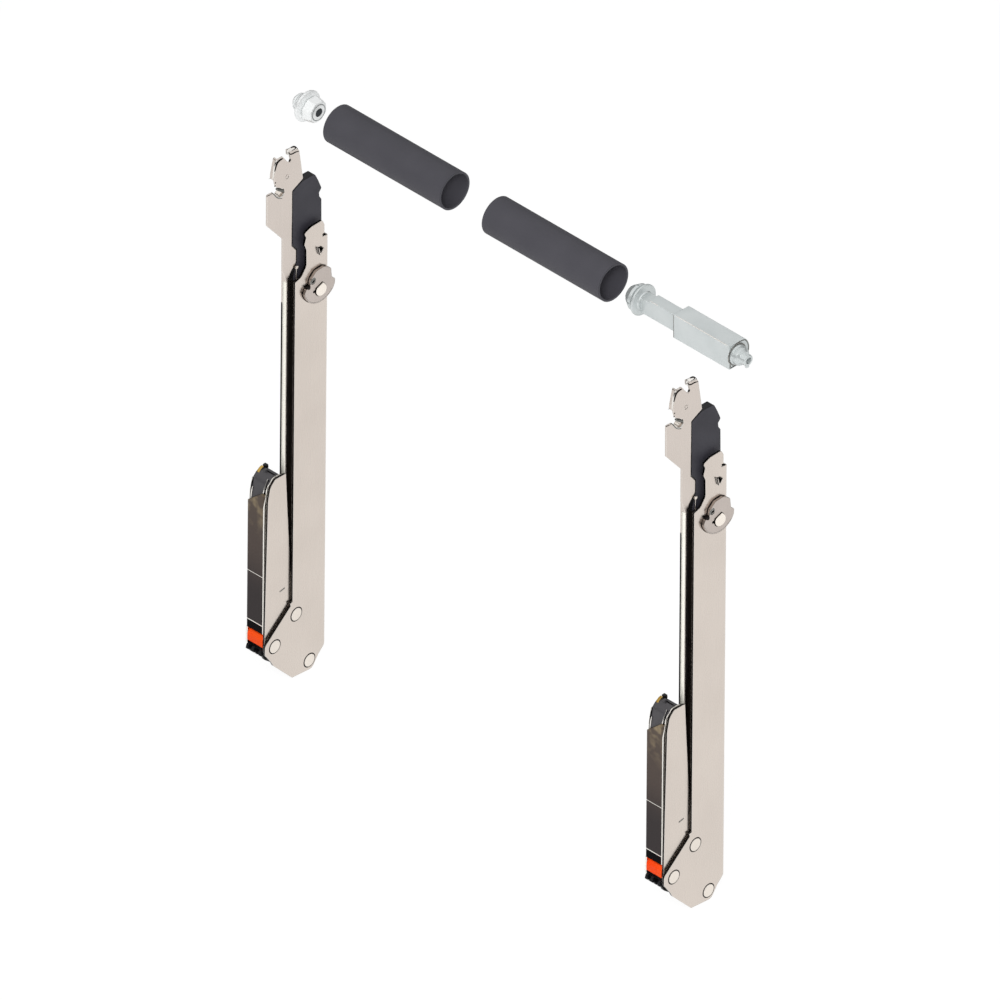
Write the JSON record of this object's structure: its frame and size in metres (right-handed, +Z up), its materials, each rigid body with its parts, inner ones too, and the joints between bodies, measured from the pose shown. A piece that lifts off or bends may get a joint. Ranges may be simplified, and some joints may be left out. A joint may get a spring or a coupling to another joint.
{
  "type": "lift-up door mechanism",
  "caption": "Lift-up door mechanism: two folded lever arms with swinging door brackets, release tabs and latches, and the stabiliser rod between them, laid out in line before fitting.",
  "frame": {"origin": "axis of the left arm's latch, on the outer face of its wide lever, where the lever locks onto the lift unit", "axes": "+X along the stabiliser rod from the left arm to the right, +Y from the door into the cabinet, +Z up along the folded arms"},
  "size_m": [0.3244, 0.0451, 0.3505],
  "materials": {
    "nickel_steel": "satin",
    "bright_steel": "polished",
    "rivet_steel": "polished",
    "black_liner": "matte",
    "black_guard": "matte",
    "dark_cover": "gloss",
    "grey_cap": "satin",
    "brass_spring": "satin",
    "orange_tab": "satin",
    "dark_tube": "matte",
    "grey_adapter": "satin",
    "pale_connector": "satin"
  },
  "bodies": {
    "levers": {"left_wide_lever": "nickel_steel", "left_rear_foot_plate": "nickel_steel", "left_main_pivot_pin": "rivet_steel", "left_foot_rivets": "rivet_steel", "left_channel_liner": "black_liner", "left_lever_guard": "black_guard", "left_guard_clip": "rivet_steel", "left_latch_stud": "rivet_steel", "right_wide_lever": "nickel_steel", "right_rear_foot_plate": "nickel_steel", "right_main_pivot_pin": "rivet_steel", "right_foot_rivets": "rivet_steel", "right_channel_liner": "black_liner", "right_lever_guard": "black_guard", "right_guard_clip": "rivet_steel", "right_latch_stud": "rivet_steel", "rod_adapter": "grey_adapter", "rod_tube_left": "dark_tube", "rod_tube_right": "dark_tube", "connector_shaft": "pale_connector"},
    "left_bracket": {"left_bracket_cheek": "nickel_steel", "left_bracket_channel": "bright_steel", "left_pivot_bush": "rivet_steel", "left_link_pin": "rivet_steel", "left_upper_cover": "dark_cover", "left_lower_cover": "dark_cover", "left_catch_cover": "black_guard", "left_end_cap": "grey_cap", "left_cap_spring": "brass_spring", "left_tab_axle": "rivet_steel", "left_door_claws": "black_guard"},
    "left_link": {"left_narrow_lever": "nickel_steel", "left_hook_roller": "rivet_steel"},
    "left_lock": {"left_latch": "nickel_steel"},
    "left_release": {"left_release_tab": "orange_tab"},
    "right_bracket": {"right_bracket_cheek": "nickel_steel", "right_bracket_channel": "bright_steel", "right_pivot_bush": "rivet_steel", "right_link_pin": "rivet_steel", "right_upper_cover": "dark_cover", "right_lower_cover": "dark_cover", "right_catch_cover": "black_guard", "right_end_cap": "grey_cap", "right_cap_spring": "brass_spring", "right_tab_axle": "rivet_steel", "right_door_claws": "black_guard"},
    "right_link": {"right_narrow_lever": "nickel_steel", "right_hook_roller": "rivet_steel"},
    "right_lock": {"right_latch": "nickel_steel"},
    "right_release": {"right_release_tab": "orange_tab"},
    "barrel": {"connector_barrel": "pale_connector"}
  },
  "joints": [
    {"name": "left_bracket_swing", "type": "hinge", "parent": "levers", "child": "left_bracket", "pos_m": [0, -0.02905, -0.19293], "axis": [1, 0, 0], "range_deg": [0, 100]},
    {"name": "left_link_swing", "type": "hinge", "parent": "left_bracket", "child": "left_link", "pos_m": [0, -0.02258, -0.16419], "axis": [1, 0, 0], "range_deg": [-100, 0]},
    {"name": "left_latch_turn", "type": "hinge", "parent": "levers", "child": "left_lock", "pos_m": [0, 0, 0], "axis": [1, 0, 0], "range_deg": [0, 60]},
    {"name": "left_release_turn", "type": "hinge", "parent": "left_bracket", "child": "left_release", "pos_m": [0, -0.03201, -0.1884], "axis": [1, 0, 0], "range_deg": [-25, 0], "stiffness_Nm_per_rad": 0.01, "springref_deg": 5.73},
    {"name": "right_bracket_swing", "type": "hinge", "parent": "levers", "child": "right_bracket", "pos_m": [0.2656, -0.02905, -0.19293], "axis": [1, 0, 0], "range_deg": [0, 100]},
    {"name": "right_link_swing", "type": "hinge", "parent": "right_bracket", "child": "right_link", "pos_m": [0.2656, -0.02258, -0.16419], "axis": [1, 0, 0], "range_deg": [-100, 0]},
    {"name": "right_latch_turn", "type": "hinge", "parent": "levers", "child": "right_lock", "pos_m": [0.2656, 0, 0], "axis": [1, 0, 0], "range_deg": [0, 60]},
    {"name": "right_release_turn", "type": "hinge", "parent": "right_bracket", "child": "right_release", "pos_m": [0.2656, -0.03201, -0.1884], "axis": [1, 0, 0], "range_deg": [-25, 0], "stiffness_Nm_per_rad": 0.01, "springref_deg": 5.73},
    {"name": "barrel_slide", "type": "slide", "parent": "levers", "child": "barrel", "axis": [1, 0, 0], "range_m": [-0.012, 0]}
  ],
  "couplings": [
    {"joint": "left_link_swing", "follows": "left_bracket_swing", "ratio": -1},
    {"joint": "right_link_swing", "follows": "left_bracket_swing", "ratio": -1},
    {"joint": "right_bracket_swing", "follows": "left_bracket_swing", "ratio": 1}
  ]
}
